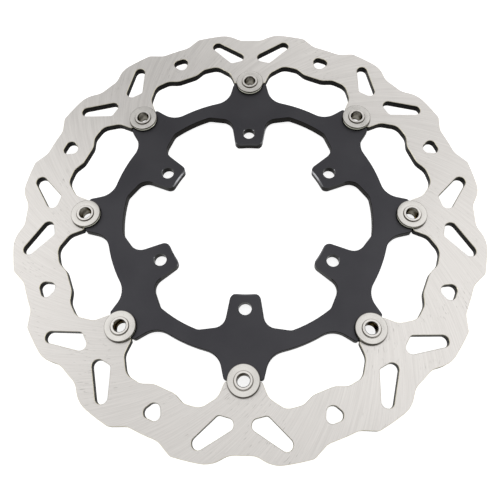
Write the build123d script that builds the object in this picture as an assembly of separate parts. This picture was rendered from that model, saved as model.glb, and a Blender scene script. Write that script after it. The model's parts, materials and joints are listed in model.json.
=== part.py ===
from build123d import *
import os
from math import cos, radians, sin, tan

# Floating front brake disc for a motorcycle: a stainless friction ring hung on a dark aluminium
# carrier by eight hollow bobbins.  Millimetres, +Z towards the outer (front) side of the wheel.
# The origin is on the wheel axis, in the carrier's back face, which is the face that the hub meets.
# Bobbin 1 stands on +Y and the others follow anticlockwise; a hub tab also points at +Y.

# ---- driving dimensions ----------------------------------------------------------------------
PLATE = 5.5                 # thickness of the friction ring and of the carrier
BOBBIN_COUNT = 8
BOBBIN_CIRCLE_R = 111.2     # bobbin axes
TAB_COUNT = 6
BOLT_CIRCLE_R = 66.0        # hub bolts on a 132 mm pitch circle
BOLT_HOLE_R = 4.25          # clearance hole for an M8 bolt
BOLT_HOLE_CHAMFER = 0.35

# Friction ring, outer wave.  Angles are measured from the radial line through a bobbin.
LOBE_R = 160.0              # half of the 320 mm outside diameter
DEEP_VALLEY_R = 153.4       # valley in line with a bobbin
MID_VALLEY_R = 154.4        # valley half way between two bobbins
DEEP_VALLEY_END = 2.85      # degrees
LOBE_START = 6.5
LOBE_END = 15.15
MID_VALLEY_START = 18.75
DEEP_VALLEY_ROUND = 12.0
LOBE_START_ROUND = 18.0
LOBE_END_ROUND = 4.0
MID_VALLEY_ROUND = 10.0

# Friction ring, inner side.  Window corners are (across, outwards) from the mid line of a window.
LUG_R = 112.0               # inner end of the lugs that reach to the bobbins
WINDOW_HALF_WIDTH = 32.2
WINDOW_SHOULDER = (WINDOW_HALF_WIDTH, 117.5)
WINDOW_CORNER = (25.2, 127.6)
WINDOW_CREST = (14.6, 129.0)
WINDOW_BUMP = (7.2, 125.8)
WINDOW_CORNER_ROUND = 8.5
WINDOW_BUMP_ROUND = 10.0
LUG_CORNER_ROUND = 2.0
RING_EDGE_BREAK = 0.25

# Slots and relief holes: each outline is the hull of three circles, (across, outwards, radius).
SLOT_CIRCLES = [(9.3, 136.6, 4.0), (14.0, 134.1, 2.8), (25.8, 147.0, 3.9)]
RELIEF_CIRCLES = [(0.0, 139.45, 4.15), (-1.75, 141.65, 3.65), (1.75, 141.65, 3.65)]

# Carrier, outer side
CARRIER_VALLEY_R = 95.8     # outer edge between two arms
ARM_TIP_R = 111.2
ARM_TIP_HALF_WIDTH = 12.1
ARM_FLARE = 13.1            # degrees that each side of an arm spreads towards its root
ARM_ROOT_ROUND = 13.5
ARM_CORNER_ROUND = 2.0
CARRIER_EDGE_BREAK = 0.3

# Carrier, inner side.  Angles are measured from the radial line through a tab.
SPIGOT_R = 56.3             # turned ends of the tabs, which centre the disc on the hub
SPIGOT_CHAMFER = 0.9
TAB_HALF_ANGLE = 9.55       # the sides of a tab are radial
TAB_ROOT_R = 78.9
SCALLOP_R = 85.2            # inner edge between two tabs
SCALLOP_START = 20.2
TAB_CORNER_ROUND = 4.5
TAB_ROOT_ROUND = 8.2
SCALLOP_CORNER_ROUND = 6.0

# Bobbin stack
SHANK_R = 7.5
CARRIER_SEAT_R = 7.55       # half-round seat that the bobbin turns in
RING_SEAT_R = 7.8           # the looser seat that lets the ring float
BORE_R = 4.0
BORE_CHAMFER = 0.4
FLANGE_R = 9.75
FLANGE_T = 1.5
NECK_R = 5.25
LIP_R = 5.75
LIP_H = 0.7
LIP_ROUND = 0.3
SMALL_BREAK = 0.2
WASHER_R = 10.0
WASHER_BORE_R = 5.3
WASHER_T = 1.0
SPRING_R = 9.75
SPRING_BORE_R = 5.6
SPRING_T = 0.7
SPRING_H = 1.5              # height of the dished spring, from the plates to the washer

WASHER_Z = PLATE + SPRING_H
LIP_Z = WASHER_Z + WASHER_T
BOBBIN_TOP_Z = LIP_Z + LIP_H

BOBBIN_STEP = 360 / BOBBIN_COUNT
TAB_STEP = 360 / TAB_COUNT
FIRST_ANGLE = 90            # bobbin 1 and the first tab point at +Y
SAME_PLACE = 0.02           # how near, in mm or degrees, a corner must be to count as the one meant


# ---- helpers ---------------------------------------------------------------------------------
def polar(radius, degrees):
    return (radius * cos(radians(degrees)), radius * sin(radians(degrees)))


def arc(radius, start, end):
    """Arc about the wheel axis, between two angles in degrees."""
    return ThreePointArc(polar(radius, start), polar(radius, (start + end) / 2), polar(radius, end))


def turned(shape, degrees):
    """Turn a shape drawn about the +Y line so that its line points at the given angle."""
    return Rot(0, 0, degrees - FIRST_ANGLE) * shape


def corner_angle(vertex, step):
    """Angle of a vertex from the nearest line of a pattern that starts at +Y."""
    degrees = Vector(vertex.X, vertex.Y).get_signed_angle(Vector(0, 1)) % step
    return min(degrees, step - degrees)


def axis_distance(vertex):
    return Vector(vertex.X, vertex.Y).length


def rounded(face, step, corners):
    """Round the corners at each (distance from the axis, angle from a pattern line, fillet radius)."""
    for distance, angle, fillet_radius in corners:
        found = [
            vertex
            for vertex in face.vertices()
            if abs(axis_distance(vertex) - distance) < SAME_PLACE
            and abs(corner_angle(vertex, step) - angle) < SAME_PLACE
        ]
        face = fillet(found, fillet_radius)
    return face


def hull_of(circles):
    edges = [edge for x, y, r in circles for edge in (Pos(x, y) * Circle(r)).edges()]
    return make_hull(edges)


def plate(face, edge_break):
    """Extrude a flat outline to the plate thickness and break every front and back edge."""
    solid = extrude(face, PLATE)
    faces = solid.faces().sort_by(Axis.Z)
    return chamfer(faces[0].edges() + faces[-1].edges(), edge_break)


# ---- friction ring ---------------------------------------------------------------------------
def ring_outer_face():
    edges = []
    for k in range(BOBBIN_COUNT):
        line = FIRST_ANGLE + k * BOBBIN_STEP
        after = line + BOBBIN_STEP
        edges += [
            arc(DEEP_VALLEY_R, line - DEEP_VALLEY_END, line + DEEP_VALLEY_END),
            Line(polar(DEEP_VALLEY_R, line + DEEP_VALLEY_END), polar(LOBE_R, line + LOBE_START)),
            arc(LOBE_R, line + LOBE_START, line + LOBE_END),
            Line(polar(LOBE_R, line + LOBE_END), polar(MID_VALLEY_R, line + MID_VALLEY_START)),
            arc(MID_VALLEY_R, line + MID_VALLEY_START, after - MID_VALLEY_START),
            Line(polar(MID_VALLEY_R, after - MID_VALLEY_START), polar(LOBE_R, after - LOBE_END)),
            arc(LOBE_R, after - LOBE_END, after - LOBE_START),
            Line(polar(LOBE_R, after - LOBE_START), polar(DEEP_VALLEY_R, after - DEEP_VALLEY_END)),
        ]
    corners = [
        (DEEP_VALLEY_R, DEEP_VALLEY_END, DEEP_VALLEY_ROUND),
        (LOBE_R, LOBE_START, LOBE_START_ROUND),
        (LOBE_R, LOBE_END, LOBE_END_ROUND),
        (MID_VALLEY_R, MID_VALLEY_START, MID_VALLEY_ROUND),
    ]
    return rounded(make_face(edges), BOBBIN_STEP, corners)


def ring_window():
    """Ring side of one window, drawn about its own mid line on +Y."""
    right = [(WINDOW_HALF_WIDTH, 0), WINDOW_SHOULDER, WINDOW_CORNER, WINDOW_CREST, WINDOW_BUMP]
    left = [(-x, y) for x, y in reversed(right)]
    window = make_face(Polyline(*left, *right, close=True))
    for (_, outwards), radius in (
        (WINDOW_SHOULDER, WINDOW_CORNER_ROUND),
        (WINDOW_CORNER, WINDOW_CORNER_ROUND),
        (WINDOW_CREST, WINDOW_CORNER_ROUND),
        (WINDOW_BUMP, WINDOW_BUMP_ROUND),
    ):
        window = fillet([v for v in window.vertices() if abs(v.Y - outwards) < SAME_PLACE], radius)
    return window


def friction_ring():
    inner = Circle(LUG_R)
    for k in range(BOBBIN_COUNT):
        inner += turned(ring_window(), FIRST_ANGLE + (k + 0.5) * BOBBIN_STEP)
    outline = ring_outer_face() - inner
    lug_corners = [v for v in outline.vertices() if abs(axis_distance(v) - LUG_R) < SAME_PLACE]
    outline = fillet(lug_corners, LUG_CORNER_ROUND)
    slot = hull_of(SLOT_CIRCLES)
    relief = hull_of(RELIEF_CIRCLES)
    for k in range(BOBBIN_COUNT):
        line = FIRST_ANGLE + k * BOBBIN_STEP
        outline -= turned(Pos(0, BOBBIN_CIRCLE_R) * Circle(RING_SEAT_R), line)
        outline -= turned(slot, line)
        outline -= turned(mirror(slot, Plane.YZ), line)
        outline -= turned(relief, line + BOBBIN_STEP / 2)
    return plate(outline, RING_EDGE_BREAK)


# ---- carrier ---------------------------------------------------------------------------------
def carrier_arm():
    """One arm, drawn on +Y from the axis out to its tip."""
    root_half_width = ARM_TIP_HALF_WIDTH + ARM_TIP_R * tan(radians(ARM_FLARE))
    tip_corner_y = (ARM_TIP_R**2 - ARM_TIP_HALF_WIDTH**2) ** 0.5
    arm = make_face(
        Polyline(
            (-root_half_width, 0), (-ARM_TIP_HALF_WIDTH, ARM_TIP_R),
            (ARM_TIP_HALF_WIDTH, ARM_TIP_R), (root_half_width, 0),
            close=True,
        )
    )
    arm &= Circle(ARM_TIP_R)
    return fillet([v for v in arm.vertices() if v.Y > tip_corner_y - 1], ARM_CORNER_ROUND)


def carrier_outer_face():
    outline = Circle(CARRIER_VALLEY_R)
    arm = carrier_arm()
    for k in range(BOBBIN_COUNT):
        outline += turned(arm, FIRST_ANGLE + k * BOBBIN_STEP)
    roots = [v for v in outline.vertices() if abs(axis_distance(v) - CARRIER_VALLEY_R) < SAME_PLACE]
    return fillet(roots, ARM_ROOT_ROUND)


def carrier_inner_face():
    edges = []
    for k in range(TAB_COUNT):
        line = FIRST_ANGLE + k * TAB_STEP
        after = line + TAB_STEP
        edges += [
            arc(SPIGOT_R, line - TAB_HALF_ANGLE, line + TAB_HALF_ANGLE),
            Line(polar(SPIGOT_R, line + TAB_HALF_ANGLE), polar(TAB_ROOT_R, line + TAB_HALF_ANGLE)),
            Line(polar(TAB_ROOT_R, line + TAB_HALF_ANGLE), polar(SCALLOP_R, line + SCALLOP_START)),
            arc(SCALLOP_R, line + SCALLOP_START, after - SCALLOP_START),
            Line(polar(SCALLOP_R, after - SCALLOP_START), polar(TAB_ROOT_R, after - TAB_HALF_ANGLE)),
            Line(polar(TAB_ROOT_R, after - TAB_HALF_ANGLE), polar(SPIGOT_R, after - TAB_HALF_ANGLE)),
        ]
    corners = [
        (SPIGOT_R, TAB_HALF_ANGLE, TAB_CORNER_ROUND),
        (TAB_ROOT_R, TAB_HALF_ANGLE, TAB_ROOT_ROUND),
        (SCALLOP_R, SCALLOP_START, SCALLOP_CORNER_ROUND),
    ]
    return rounded(make_face(edges), TAB_STEP, corners)


def bolt_hole_tool():
    """Drill with a countersink at each end, centred on its own middle."""
    drill = Cylinder(BOLT_HOLE_R, PLATE)
    sink_h = BOLT_HOLE_CHAMFER
    top = Pos(0, 0, (PLATE - sink_h) / 2) * Cone(BOLT_HOLE_R, BOLT_HOLE_R + sink_h, sink_h)
    bottom = Pos(0, 0, (sink_h - PLATE) / 2) * Cone(BOLT_HOLE_R + sink_h, BOLT_HOLE_R, sink_h)
    return drill + top + bottom


def spigot_chamfer_tools():
    """Two turned cones that chamfer the ends of the tabs, front and back."""
    depth = SPIGOT_CHAMFER
    front = Pos(0, 0, PLATE - depth / 2) * Cone(SPIGOT_R, SPIGOT_R + depth, depth)
    back = Pos(0, 0, depth / 2) * Cone(SPIGOT_R + depth, SPIGOT_R, depth)
    return [front, back]


def carrier():
    outline = carrier_outer_face() - carrier_inner_face()
    for k in range(BOBBIN_COUNT):
        outline -= turned(Pos(0, BOBBIN_CIRCLE_R) * Circle(CARRIER_SEAT_R), FIRST_ANGLE + k * BOBBIN_STEP)
    solid = plate(outline, CARRIER_EDGE_BREAK)
    for k in range(TAB_COUNT):
        x, y = polar(BOLT_CIRCLE_R, FIRST_ANGLE + k * TAB_STEP)
        solid -= Pos(x, y, PLATE / 2) * bolt_hole_tool()
    for tool in spigot_chamfer_tools():
        solid -= tool
    return solid


# ---- bobbin stack, drawn on the bobbin's own axis --------------------------------------------
def spun(*points):
    """Solid of revolution about Z from (radius, height) corners."""
    profile = make_face(Polyline(*[(r, 0, z) for r, z in points], close=True))
    return revolve(profile, Axis.Z)


def rims(solid, radius):
    """Circular edges of one radius, lowest first."""
    circles = solid.edges().filter_by(GeomType.CIRCLE).sort_by(Axis.Z)
    return [edge for edge in circles if abs(edge.radius - radius) < SAME_PLACE]


def bobbin():
    """Hollow bobbin: back flange, shank in the half-round seats, neck and staked front lip."""
    body = spun(
        (BORE_R, -FLANGE_T), (FLANGE_R, -FLANGE_T), (FLANGE_R, 0), (SHANK_R, 0),
        (SHANK_R, PLATE), (NECK_R, PLATE), (NECK_R, LIP_Z), (LIP_R, LIP_Z),
        (LIP_R, BOBBIN_TOP_Z), (BORE_R, BOBBIN_TOP_Z),
    )
    body = chamfer(rims(body, BORE_R), BORE_CHAMFER)
    body = chamfer(rims(body, FLANGE_R), SMALL_BREAK)
    return fillet(rims(body, LIP_R)[-1], LIP_ROUND)


def flat_washer():
    washer = spun((WASHER_BORE_R, WASHER_Z), (WASHER_R, WASHER_Z), (WASHER_R, LIP_Z), (WASHER_BORE_R, LIP_Z))
    return chamfer(rims(washer, WASHER_R), SMALL_BREAK)


def disc_spring():
    """Dished spring washer: its outer edge presses on both plates, its inner edge on the washer."""
    return spun(
        (SPRING_R, PLATE), (SPRING_R, PLATE + SPRING_T),
        (SPRING_BORE_R, WASHER_Z), (SPRING_BORE_R, WASHER_Z - SPRING_T),
    )


# ---- assembly --------------------------------------------------------------------------------
def main():
    os.makedirs("parts", exist_ok=True)
    nodes = {"carrier": carrier(), "friction_ring": friction_ring()}
    stack = {"bobbin": bobbin(), "flat_washer": flat_washer(), "disc_spring": disc_spring()}
    for k in range(BOBBIN_COUNT):
        x, y = polar(BOBBIN_CIRCLE_R, FIRST_ANGLE + k * BOBBIN_STEP)
        for name, shape in stack.items():
            nodes[f"{name}_{k + 1}"] = Pos(x, y, 0) * shape
    for name, shape in nodes.items():
        export_step(shape, f"parts/{name}.step")


main()
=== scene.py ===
import json
from math import acos, cos, e, pi, radians, sin

import bmesh
import bpy
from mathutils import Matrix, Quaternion, Vector

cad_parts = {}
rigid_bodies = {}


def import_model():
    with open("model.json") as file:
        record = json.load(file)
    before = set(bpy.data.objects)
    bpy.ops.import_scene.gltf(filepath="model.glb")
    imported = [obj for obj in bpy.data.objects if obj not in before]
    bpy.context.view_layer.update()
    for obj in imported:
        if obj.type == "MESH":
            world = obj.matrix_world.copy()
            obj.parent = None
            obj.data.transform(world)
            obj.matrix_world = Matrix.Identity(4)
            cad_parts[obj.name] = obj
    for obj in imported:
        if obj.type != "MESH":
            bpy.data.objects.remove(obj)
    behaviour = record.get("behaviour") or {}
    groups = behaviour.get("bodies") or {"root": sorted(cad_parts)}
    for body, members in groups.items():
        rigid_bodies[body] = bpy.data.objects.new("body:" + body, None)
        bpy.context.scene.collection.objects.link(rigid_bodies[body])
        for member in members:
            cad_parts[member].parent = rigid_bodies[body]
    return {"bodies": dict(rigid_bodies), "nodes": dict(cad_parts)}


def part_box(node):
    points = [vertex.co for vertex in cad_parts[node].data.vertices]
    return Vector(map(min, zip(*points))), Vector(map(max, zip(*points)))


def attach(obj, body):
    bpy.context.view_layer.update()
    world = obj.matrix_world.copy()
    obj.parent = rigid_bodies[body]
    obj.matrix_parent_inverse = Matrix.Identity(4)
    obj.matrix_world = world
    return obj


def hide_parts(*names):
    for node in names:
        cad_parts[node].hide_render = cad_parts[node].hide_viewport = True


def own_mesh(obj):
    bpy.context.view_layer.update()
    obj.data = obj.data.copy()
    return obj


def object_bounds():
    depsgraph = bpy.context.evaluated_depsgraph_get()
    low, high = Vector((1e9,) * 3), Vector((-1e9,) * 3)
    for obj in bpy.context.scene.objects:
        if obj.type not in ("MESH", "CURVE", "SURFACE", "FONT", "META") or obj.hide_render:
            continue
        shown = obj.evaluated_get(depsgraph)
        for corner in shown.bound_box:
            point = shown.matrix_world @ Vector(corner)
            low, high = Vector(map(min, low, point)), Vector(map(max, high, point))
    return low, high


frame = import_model()
cad_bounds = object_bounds()

# Looks for a floating brake disc: ground steel ring, black anodised carrier and, at each of the
# bobbins, a turned bobbin, flat washer and dished spring that stand for their plainer CAD nodes.
# Metres, in the frame of the CAD model: the wheel axis is Z and +Z is the front.

BODIES = frame["bodies"]
BOBBINS = sorted(name for name in BODIES if name.startswith("bobbin_"))


# ---- where things are, from the frame ----------------------------------------------------------
def centre_of(node):
    low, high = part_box(node)
    return (low + high) / 2


PLATE_BACK, PLATE_FRONT = (corner.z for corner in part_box("carrier"))
FLANGE_BACK, LIP_FRONT = (corner.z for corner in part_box("bobbin_1"))
WASHER_BACK, WASHER_FRONT = (corner.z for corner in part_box("flat_washer_1"))
FLANGE_R = (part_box("bobbin_1")[1].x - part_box("bobbin_1")[0].x) / 2
WASHER_R = (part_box("flat_washer_1")[1].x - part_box("flat_washer_1")[0].x) / 2
SPRING_R = (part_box("disc_spring_1")[1].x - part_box("disc_spring_1")[0].x) / 2
BOBBIN_CIRCLE_R = centre_of("bobbin_1").xy.length

# Turned sizes that a box can't give, the same as in the CAD model
SHANK_R = 0.0075
NECK_R = 0.00525
LIP_R = 0.00575
BORE_R = 0.0040
BORE_CHAMFER = 0.0004
WASHER_BORE_R = 0.0053
SPRING_BORE_R = 0.0056
SPRING_T = 0.0007


# ---- node helpers ------------------------------------------------------------------------------
RANGE_SOCKETS = ("From Min", "From Max", "To Min", "To Max")
SHADOW_DROP = 0.0003              # how far the painted shadow rings hang below the bobbin axes, onto their lower side
SHADOW_WIDTH = 0.0010             # how far the painted shadow reaches out on the plates


class Shader:
    """A Principled material and short calls that add nodes to it."""

    def __init__(self, name, metallic, roughness, **fixed):
        self.material = bpy.data.materials.new(name)
        self.material.use_nodes = True
        self.tree = self.material.node_tree
        self.bsdf = self.tree.nodes["Principled BSDF"]
        self.set(Metallic=metallic, Roughness=roughness, **fixed)

    def set(self, **values):
        for socket, value in values.items():
            self.bsdf.inputs[socket.replace("_", " ")].default_value = value

    def add(self, kind, **settings):
        node = self.tree.nodes.new(kind)
        for setting, value in settings.items():
            setattr(node, setting, value)
        return node

    def feed(self, socket, value):
        if isinstance(value, bpy.types.NodeSocket):
            self.tree.links.new(value, socket)
        else:
            socket.default_value = value

    def link(self, name, value):
        self.feed(self.bsdf.inputs[name], value)

    def math(self, operation, *values):
        node = self.add("ShaderNodeMath", operation=operation)
        for socket, value in zip(node.inputs, values):
            self.feed(socket, value)
        return node.outputs[0]

    def vector(self, operation, *values):
        node = self.add("ShaderNodeVectorMath", operation=operation)
        for name, value in zip(("Vector", "Vector_001"), values):
            socket = next(s for s in node.inputs if s.identifier == name)
            self.feed(socket, value)
        return node.outputs["Value" if operation == "LENGTH" else "Vector"]

    def scaled(self, vector, amount):
        node = self.add("ShaderNodeVectorMath", operation="SCALE")
        self.feed(node.inputs[0], vector)
        self.feed(node.inputs["Scale"], amount)
        return node.outputs[0]

    def position(self):
        return self.add("ShaderNodeTexCoord").outputs["Object"]

    def flat_position(self):
        return self.vector("MULTIPLY", self.position(), (1, 1, 0))

    def normal_up(self):
        """How far the surface faces along the axis, 0 on a wall and 1 on a face."""
        normal = self.add("ShaderNodeTexCoord").outputs["Normal"]
        parts = self.add("ShaderNodeSeparateXYZ")
        self.feed(parts.inputs[0], normal)
        return self.math("ABSOLUTE", parts.outputs["Z"])

    def with_height(self, flat, height):
        """A flat vector with its Z replaced."""
        parts = self.add("ShaderNodeSeparateXYZ")
        self.feed(parts.inputs[0], flat)
        whole = self.add("ShaderNodeCombineXYZ")
        self.feed(whole.inputs["X"], parts.outputs["X"])
        self.feed(whole.inputs["Y"], parts.outputs["Y"])
        self.feed(whole.inputs["Z"], height)
        return whole.outputs[0]

    def noise(self, vector, scale, detail=2.0, roughness=0.5):
        node = self.add("ShaderNodeTexNoise")
        self.feed(node.inputs["Vector"], vector)
        self.feed(node.inputs["Scale"], scale)
        node.inputs["Detail"].default_value = detail
        node.inputs["Roughness"].default_value = roughness
        return node.outputs["Fac"]

    def between(self, value, low, high, to_low=0.0, to_high=1.0):
        """Value mapped smoothly from low..high to to_low..to_high, and held outside."""
        node = self.add("ShaderNodeMapRange", interpolation_type="SMOOTHSTEP")
        self.feed(node.inputs["Value"], value)
        for name, number in zip(RANGE_SOCKETS, (low, high, to_low, to_high)):
            node.inputs[name].default_value = number
        return node.outputs[0]

    def blend(self, factor, first, second):
        """Colour that goes from first to second as the factor goes from 0 to 1."""
        node = self.add("ShaderNodeMix", data_type="RGBA")
        self.feed(node.inputs["Factor"], factor)
        colours = [s for s in node.inputs if s.type == "RGBA"]
        for socket, colour in zip(colours, (first, second)):
            self.feed(socket, colour if isinstance(colour, bpy.types.NodeSocket) else (*colour, 1))
        return next(s for s in node.outputs if s.type == "RGBA")

    def bump(self, height, strength, distance):
        node = self.add("ShaderNodeBump")
        node.inputs["Strength"].default_value = strength
        node.inputs["Distance"].default_value = distance
        self.feed(node.inputs["Height"], height)
        self.link("Normal", node.outputs[0])

    def lowered_position(self):
        """Flat position for painted shadow rings, whose centres lie a little below the axes they
        surround.
        """
        return self.vector("ADD", self.flat_position(), (0, SHADOW_DROP, 0))

    def bobbin_painted_shadow(self):
        """Painted shadow mask: 1 beside the spring of each bobbin, fading to 0 on the plates around
        it.
        """
        lowered = self.lowered_position()
        radius = self.vector("LENGTH", lowered)
        place = self.add("ShaderNodeSeparateXYZ")
        self.feed(place.inputs[0], lowered)
        half_step = pi / len(BOBBINS)
        around = self.math("ARCTAN2", place.outputs["Y"], place.outputs["X"])
        beside = self.math("WRAP", around, half_step, -half_step)
        across = self.math("MULTIPLY", radius, self.math("SINE", beside))
        outwards = self.math("MULTIPLY", radius, self.math("COSINE", beside))
        outwards = self.math("SUBTRACT", outwards, BOBBIN_CIRCLE_R)
        squares = [self.math("MULTIPLY", part, part) for part in (across, outwards)]
        distance = self.math("SQRT", self.math("ADD", *squares))
        return self.between(distance, SPRING_R, SPRING_R + SHADOW_WIDTH, 1.0, 0.0)

    def circle_line(self, radius, at, width):
        """1 on a thin circle about the axis, fading to 0 within the given width."""
        off = self.math("ABSOLUTE", self.math("SUBTRACT", radius, at))
        return self.between(off, 0.0, width, 1.0, 0.0)

    def radial_tangent(self):
        """Lets the anisotropic sheen run around the axis."""
        tangent = self.add("ShaderNodeTangent", direction_type="RADIAL", axis="Z")
        self.link("Tangent", tangent.outputs[0])


# ---- materials ---------------------------------------------------------------------------------
SWIRL_R = 0.14                   # radius at which the grinding swirl starts its turn
WALL_SHEEN = 0.04                # how far the dark cut walls of both plates shine
WALL_UP = (0.25, 0.45)           # how far up a surface faces where the dark walls end
FACE_UP = (0.80, 0.95)           # and where the flat faces start, beyond the edge breaks
TAB_FINISH_R = 0.071             # inside this radius the carrier's chamfers are bright
# Colours of the painted shadow beside each bobbin's spring, on the ring and on the carrier
PAINTED_SHADOW_ON_RING = (0.06, 0.05, 0.04)
PAINTED_SHADOW_ON_CARRIER = (0.008, 0.007, 0.006)
# Painted shade on the washer rims, on the lip walls and beside the lips
PAINTED_SHADE_COLOUR = (0.09, 0.075, 0.055)
GRAZING_TINT = (0.14, 0.13, 0.115, 1)   # dulls grazing reflections, most of all in the bores


def swirl_coordinates(shader, radius):
    """Unit direction that stays the same along a spiral crossing every radius at 45 degrees."""
    turn = shader.add("ShaderNodeVectorRotate", rotation_type="Z_AXIS")
    angle = shader.math("LOGARITHM", shader.math("DIVIDE", radius, SWIRL_R), e)
    shader.feed(turn.inputs["Vector"], shader.flat_position())
    shader.feed(turn.inputs["Angle"], angle)
    return shader.vector("NORMALIZE", turn.outputs[0])


def streaks(shader, direction, radius, across, along, detail=2.0):
    """Noise drawn out along the grinding swirl: across streaks a turn, along changes a metre."""
    height = shader.math("MULTIPLY", radius, along)
    return shader.noise(shader.with_height(shader.scaled(direction, across), height), 1.0, detail)


def ground_steel():
    """Stainless ring: swirl-ground faces, pale edge breaks and laser-cut walls painted near-black as
    painted shade.
    """
    s = Shader(
        "ring_ground_steel", metallic=1.0, roughness=0.4,
        Anisotropic=0.55, Anisotropic_Rotation=0.875, Specular_IOR_Level=WALL_SHEEN,
    )
    s.radial_tangent()
    radius = s.vector("LENGTH", s.flat_position())
    swirl = swirl_coordinates(s, radius)
    fine = streaks(s, swirl, radius, across=250, along=70)
    broad = streaks(s, swirl, radius, across=70, along=28)
    dashes = streaks(s, swirl, radius, across=150, along=330, detail=1.0)
    patches = s.noise(s.position(), 28.0)
    flecks = s.math("MULTIPLY", s.between(dashes, 0.64, 0.74), s.between(patches, 0.45, 0.62))
    tone = s.math("ADD", s.math("MULTIPLY", fine, 0.6), s.math("MULTIPLY", broad, 0.4))
    face = s.blend(s.between(tone, 0.3, 0.7), (0.63, 0.606, 0.580), (0.74, 0.715, 0.688))
    face = s.blend(s.math("MULTIPLY", flecks, 0.45), face, (0.25, 0.24, 0.22))
    # Painted shadow: a dark ring beside each spring, strongest on its lower side where shade falls
    face = s.blend(s.math("MULTIPLY", s.bobbin_painted_shadow(), 0.9), face, PAINTED_SHADOW_ON_RING)
    up = s.normal_up()
    edge = s.blend(s.between(up, *FACE_UP), (0.66, 0.62, 0.47), face)
    # Cut walls painted near-black: painted shade for the dark surroundings they reflect
    wall_grain = s.noise(s.vector("MULTIPLY", s.position(), (1, 1, 0.15)), 900.0)
    wall = s.blend(wall_grain, (0.002, 0.002, 0.002), (0.007, 0.006, 0.005))
    off_wall = s.between(up, *WALL_UP)
    s.link("Base Color", s.blend(off_wall, wall, edge))
    s.link("Metallic", off_wall)
    s.link("Roughness", s.between(tone, 0.3, 0.7, 0.34, 0.44))
    s.bump(tone, 0.12, 0.0002)
    return s.material


def black_anodised():
    """Carrier: satin black faces with a fine blasted grain, cut walls painted near-black as painted
    shade, bright tab ends.
    """
    s = Shader(
        "carrier_black_anodised", metallic=1.0, roughness=0.42, Specular_IOR_Level=WALL_SHEEN
    )
    grain = s.noise(s.position(), 1400.0)
    cloud = s.noise(s.position(), 30.0)
    face = s.blend(s.between(cloud, 0.3, 0.7), (0.053, 0.052, 0.058), (0.062, 0.061, 0.067))
    face = s.blend(s.between(grain, 0.55, 0.75, 0.0, 0.35), face, (0.075, 0.075, 0.08))
    # Painted shadow: a near-black ring beside each spring, strongest on its lower side
    face = s.blend(s.bobbin_painted_shadow(), face, PAINTED_SHADOW_ON_CARRIER)
    up = s.normal_up()
    radius = s.vector("LENGTH", s.flat_position())
    on_tab = s.between(radius, TAB_FINISH_R, TAB_FINISH_R + 0.002, 1.0, 0.0)
    off_face = s.between(up, *FACE_UP, 1.0, 0.0)
    chamfer = s.blend(on_tab, (0.014, 0.013, 0.012), (0.11, 0.11, 0.115))
    edge = s.blend(off_face, face, chamfer)
    off_wall = s.between(up, *WALL_UP)
    # The cut walls' colour is painted shade, near-black for the dark surroundings they reflect
    s.link("Base Color", s.blend(off_wall, (0.006, 0.005, 0.004), edge))
    s.link("Metallic", off_wall)
    dull = s.between(grain, 0.3, 0.7, 0.38, 0.48)
    shine = s.math("MULTIPLY", s.math("MULTIPLY", off_face, on_tab), 0.28)
    s.link("Roughness", s.math("SUBTRACT", dull, shine))
    s.bump(grain, 0.10, 0.00005)
    return s.material


def turned_steel(name, pale, dark, shade_lines=(), shadow_rings=(), bore=None):
    """Bright turned part with fine lathe rings, painted shade lines on circles (radius, width,
    amount), painted shadow rings in the same terms that hang a little lower, and two colours of a bore
    darkened as painted shade."""
    s = Shader(name, metallic=1.0, roughness=0.3, Anisotropic=0.5)
    s.radial_tangent()
    radius = s.vector("LENGTH", s.flat_position())
    rings = s.noise(s.scaled((0, 0, 1), s.math("MULTIPLY", radius, 9000.0)), 1.0, 3.0)
    cloud = s.noise(s.position(), 220.0)
    tone = s.math("ADD", s.math("MULTIPLY", rings, 0.6), s.math("MULTIPLY", cloud, 0.4))
    colour = s.blend(s.between(tone, 0.3, 0.7), dark, pale)
    lowered = s.vector("LENGTH", s.lowered_position())
    circles = [(radius, *line) for line in shade_lines] + [(lowered, *ring) for ring in shadow_rings]
    # Painted shade lines and painted shadow rings, all in the one dark colour
    for distance, at, width, amount in circles:
        dull = s.math("MULTIPLY", s.circle_line(distance, at, width), amount)
        colour = s.blend(dull, colour, PAINTED_SHADE_COLOUR)
    if bore:
        # Bore and its chamfer darkened as painted shade, with a noise mottle of painted reflections
        bore_shade = s.blend(s.between(s.noise(s.position(), 260.0), 0.35, 0.65), *bore)
        off_bore = s.between(radius, BORE_R + 0.0002, BORE_R + BORE_CHAMFER)
        colour = s.blend(off_bore, bore_shade, colour)
        dull_tone = s.math("MULTIPLY", tone, s.between(off_bore, 0.0, 1.0, 0.4, 1.0))
        s.set(Specular_Tint=GRAZING_TINT)
    else:
        dull_tone = tone
    s.link("Base Color", colour)
    s.link("Roughness", s.between(dull_tone, 0.1, 0.7, 0.16, 0.36))
    s.bump(rings, 0.08, 0.0001)
    return s.material


def pale_floor():
    """White sweep that glows a little, so that it stays white in the openings."""
    s = Shader("floor_white", metallic=0.0, roughness=0.8, Specular_IOR_Level=0.1)
    cloud = s.noise(s.position(), 2.0)
    s.link("Base Color", s.blend(cloud, (0.58, 0.58, 0.58), (0.62, 0.62, 0.62)))
    s.set(Emission_Color=(1, 1, 1, 1), Emission_Strength=0.8)
    return s.material


# ---- turned pieces -----------------------------------------------------------------------------
ROUND_STEPS = 6                  # pieces in each rounded corner
TURN_STEPS = 128                 # pieces in each full turn
CRISP = 0.0001                   # the smallest corner round
SHARP_ANGLE = radians(40)


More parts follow.
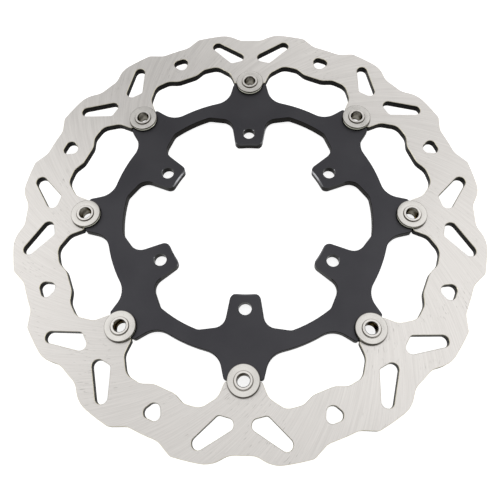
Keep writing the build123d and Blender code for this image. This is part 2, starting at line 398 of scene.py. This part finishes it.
def rounded_profile(corners):
    """Closed (radius, height) outline from (radius, height, corner round) points."""
    points = []
    count = len(corners)
    for index, (r, z, size) in enumerate(corners):
        here = Vector((r, z))
        before = Vector(corners[index - 1][:2]) - here
        after = Vector(corners[(index + 1) % count][:2]) - here
        if size == 0:
            points.append(here)
            continue
        before.normalize()
        after.normalize()
        half = acos(max(-1.0, min(1.0, before.dot(after)))) / 2
        middle = here + (before + after).normalized() * size / sin(half)
        start = (here + before * size * cos(half) / sin(half) - middle).normalized()
        end = (here + after * size * cos(half) / sin(half) - middle).normalized()
        for step in range(ROUND_STEPS + 1):
            points.append(middle + start.slerp(end, step / ROUND_STEPS) * size)
    return points


def spun(name, corners, material):
    """Mesh turned about Z from a rounded outline, with smooth normals that stay crisp at its edges."""
    mesh = bpy.data.meshes.new(name)
    grid = bmesh.new()
    outline = rounded_profile(corners)
    rings = []
    for step in range(TURN_STEPS):
        angle = 2 * pi * step / TURN_STEPS
        rings.append([grid.verts.new((p.x * cos(angle), p.x * sin(angle), p.y)) for p in outline])
    for ring, following in zip(rings, rings[1:] + rings[:1]):
        for a, b in zip(range(len(outline)), [*range(1, len(outline)), 0]):
            grid.faces.new((ring[a], ring[b], following[b], following[a]))
    bmesh.ops.recalc_face_normals(grid, faces=grid.faces)
    grid.to_mesh(mesh)
    grid.free()
    mesh.shade_smooth()
    mesh.set_sharp_from_angle(angle=SHARP_ANGLE)
    mesh.materials.append(material)
    return mesh


def bobbin_mesh(material):
    fine, soft = 0.00012, 0.0003
    return spun(
        "bobbin_turned",
        [
            (BORE_R + BORE_CHAMFER, FLANGE_BACK, CRISP), (FLANGE_R, FLANGE_BACK, soft),
            (FLANGE_R, PLATE_BACK, fine), (SHANK_R, PLATE_BACK, 0),
            (SHANK_R, PLATE_FRONT, fine), (NECK_R, PLATE_FRONT, 0), (NECK_R, WASHER_FRONT, 0),
            (LIP_R, WASHER_FRONT, fine), (LIP_R, LIP_FRONT, soft),
            (BORE_R + BORE_CHAMFER, LIP_FRONT, CRISP), (BORE_R, LIP_FRONT - BORE_CHAMFER, CRISP),
            (BORE_R, FLANGE_BACK + BORE_CHAMFER, CRISP),
        ],
        material,
    )


def washer_mesh(material):
    return spun(
        "flat_washer_turned",
        [
            (WASHER_BORE_R, WASHER_BACK, CRISP), (WASHER_R, WASHER_BACK, CRISP),
            (WASHER_R, WASHER_FRONT, 0.00025), (WASHER_BORE_R, WASHER_FRONT, CRISP),
        ],
        material,
    )


def spring_mesh(material):
    """Dished ring whose outer rim slopes, with its foot on the plates."""
    fine, soft = 0.00015, 0.0002
    return spun(
        "disc_spring_turned",
        [
            (SPRING_R, PLATE_FRONT, 0.00005), (SPRING_R, PLATE_FRONT + SPRING_T / 4, soft),
            (SPRING_R - SPRING_T / 2, PLATE_FRONT + SPRING_T * 0.95, soft),
            (SPRING_BORE_R, WASHER_BACK, fine), (SPRING_BORE_R, WASHER_BACK - SPRING_T, fine),
        ],
        material,
    )


def place_turned(mesh, node, body):
    """One turned piece on a bobbin's axis, in place of its CAD node."""
    piece = bpy.data.objects.new(f"{node}_turned", mesh)
    bpy.context.scene.collection.objects.link(piece)
    centre = centre_of(node)
    piece.location = (centre.x, centre.y, 0)
    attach(piece, body)
    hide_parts(node)
    return piece


def press_flatter(spring):
    """Gives a dished spring a mesh of its own; its shape is left as it is."""
    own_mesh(spring)


def dress_bobbins():
    # The washer's rim line and its ring beside the lip, and the bobbin's lip line, are painted shade
    bright = turned_steel(
        "washer_turned_steel", (0.70, 0.68, 0.648), (0.61, 0.59, 0.559),
        shade_lines=((WASHER_R, 0.0005, 0.95),), shadow_rings=((LIP_R + SHADOW_DROP / 2, 0.0005, 0.9),),
    )
    hollow = turned_steel(
        "bobbin_turned_steel", (0.75, 0.725, 0.69), (0.65, 0.625, 0.595),
        # bore colours: painted shade with painted reflections
        shade_lines=((LIP_R, 0.0003, 0.9),), bore=((0.09, 0.084, 0.072), (0.24, 0.228, 0.20)),
    )
    # Pale olive spring steel, lightened beyond its own colour as painted light so that its rim shows
    # out of the shade under the washer
    spring = turned_steel("spring_plain_steel", (0.80, 0.80, 0.68), (0.68, 0.68, 0.57))
    meshes = {
        "bobbin": (bobbin_mesh(hollow), "bobbin_steel"),
        "flat_washer": (washer_mesh(bright), "washer_steel"),
        "disc_spring": (spring_mesh(spring), "spring_steel"),
    }
    for body in BOBBINS:
        number = body.split("_")[-1]
        for kind, (mesh, slot) in meshes.items():
            owner = "spring_set" if kind == "disc_spring" else body
            piece = place_turned(mesh, f"{kind}_{number}", owner)
            if kind == "disc_spring":
                press_flatter(piece)


def dress_plates():
    for node, material in (("friction_ring", ground_steel()), ("carrier", black_anodised())):
        plate = frame["nodes"][node]
        plate.data.materials.clear()
        plate.data.materials.append(material)


# ---- studio ------------------------------------------------------------------------------------
FLOOR_HALF = 8.0
FLOOR_GAP = 0.0002               # keeps the floor just clear of the bobbin flanges
SKY_DARK_Y = -0.42               # y of the sky directions where the dim side starts and ends
SKY_BRIGHT_Y = 0.05

CAMERA_AT = Vector((0.01485, -0.155225, 0.326828))
CAMERA_AIM = Vector((0.00244, -0.02588, PLATE_FRONT))
CAMERA_ROLL = 4.847              # degrees about the line of sight
CAMERA_LENS = 37.507             # millimetres on a 36 mm sensor


def camera():
    data = bpy.data.cameras.new("camera")
    data.lens = CAMERA_LENS
    data.sensor_width = 36
    data.clip_start = 0.01
    data.clip_end = 20
    eye = bpy.data.objects.new("camera", data)
    bpy.context.scene.collection.objects.link(eye)
    sight = (CAMERA_AIM - CAMERA_AT).normalized()
    eye.rotation_mode = "QUATERNION"
    eye.location = CAMERA_AT
    level = sight.to_track_quat("-Z", "Y")
    eye.rotation_quaternion = Quaternion(sight, radians(CAMERA_ROLL)) @ level
    bpy.context.scene.camera = eye


def soft_light(name, at, size, power):
    """Rectangular light that faces the disc's centre."""
    data = bpy.data.lights.new(name, "AREA")
    data.shape = "RECTANGLE"
    data.size, data.size_y = size
    data.energy = power
    lamp = bpy.data.objects.new(name, data)
    bpy.context.scene.collection.objects.link(lamp)
    lamp.location = at
    lamp.rotation_mode = "QUATERNION"
    lamp.rotation_quaternion = (-Vector(at)).to_track_quat("-Z", "Y")


def sky(bright, dark):
    """Soft light from all round, a little dimmer from the -Y side."""
    scene_world = bpy.data.worlds.new("studio")
    bpy.context.scene.world = scene_world
    scene_world.use_nodes = True
    tree = scene_world.node_tree
    tree.nodes["Background"].inputs["Color"].default_value = (1, 1, 1, 1)
    direction = tree.nodes.new("ShaderNodeTexCoord").outputs["Generated"]
    parts = tree.nodes.new("ShaderNodeSeparateXYZ")
    fade = tree.nodes.new("ShaderNodeMapRange")
    fade.interpolation_type = "SMOOTHSTEP"
    for name, number in zip(RANGE_SOCKETS, (SKY_DARK_Y, SKY_BRIGHT_Y, dark, bright)):
        fade.inputs[name].default_value = number
    tree.links.new(direction, parts.inputs[0])
    tree.links.new(parts.outputs["Y"], fade.inputs["Value"])
    tree.links.new(fade.outputs[0], tree.nodes["Background"].inputs["Strength"])


def floor():
    mesh = bpy.data.meshes.new("floor")
    height = cad_bounds[0].z - FLOOR_GAP
    corners = [(x * FLOOR_HALF, y * FLOOR_HALF) for x, y in ((-1, -1), (1, -1), (1, 1), (-1, 1))]
    mesh.from_pydata([(x, y, height) for x, y in corners], [], [(0, 1, 2, 3)])
    mesh.materials.append(pale_floor())
    ground = bpy.data.objects.new("floor", mesh)
    bpy.context.scene.collection.objects.link(ground)


def studio():
    sky(bright=0.63, dark=0.5)
    soft_light("left", at=(-1.0, 0.25, 0.94), size=(1.2, 1.5), power=4.0)
    soft_light("right", at=(0.95, 0.36, 0.94), size=(1.2, 1.5), power=3.8)
    soft_light("overhead", at=(0.0, 0.0, 1.4), size=(0.8, 0.8), power=1.1)
    soft_light("back", at=(0.2, 1.25, 0.59), size=(1.0, 0.8), power=1.6)
    # Small and low, for the bright chamfers of the carrier's tab ends
    soft_light("glint_left", at=(-1.08, -0.156, 0.47), size=(0.2, 0.2), power=0.55)
    soft_light("glint_right", at=(1.08, -0.156, 0.47), size=(0.2, 0.2), power=0.55)
    floor()
    camera()
    bpy.context.scene.view_settings.view_transform = "Standard"


def write_sizes():
    bpy.context.view_layer.update()


dress_plates()
dress_bobbins()
studio()
write_sizes()
